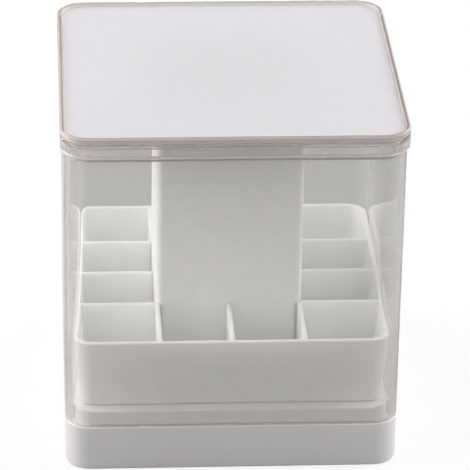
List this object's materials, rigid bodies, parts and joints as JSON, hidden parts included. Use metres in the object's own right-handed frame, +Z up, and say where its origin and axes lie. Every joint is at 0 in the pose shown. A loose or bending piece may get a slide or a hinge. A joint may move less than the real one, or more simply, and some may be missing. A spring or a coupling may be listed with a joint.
{
  "type": "lipstick storage box",
  "caption": "Square clear storage box with rounded corners, white base, clear lid with a white top panel, white compartment tray and tall centre cup.",
  "frame": {"origin": "centre of the underside, on the surface that the box stands on", "axes": "+Z up through the lid, +X to the right and -Y to the front"},
  "size_m": [0.13, 0.13, 0.1407],
  "materials": {
    "white_plastic": "satin",
    "white_panel": "smooth",
    "clear_plastic": "clear gloss"
  },
  "bodies": {
    "base": {"base": "white_plastic"},
    "tray": {"compartment_tray": "white_plastic"},
    "cup": {"centre_cup": "white_plastic"},
    "body": {"clear_body": "clear_plastic"},
    "lid": {"lid_shell": "clear_plastic", "lid_panel": "white_panel"}
  },
  "joints": [
    {"name": "tray_lift", "type": "slide", "parent": "base", "child": "tray", "axis": [0, 0, 1], "range_m": [0, 0.03]},
    {"name": "cup_lift", "type": "slide", "parent": "tray", "child": "cup", "axis": [0, 0, 1], "range_m": [0, 0.04]},
    {"name": "body_lift", "type": "slide", "parent": "cup", "child": "body", "axis": [0, 0, 1], "range_m": [0, 0.12]},
    {"name": "lid_lift", "type": "slide", "parent": "body", "child": "lid", "axis": [0, 0, 1], "range_m": [0, 0.04]}
  ]
}
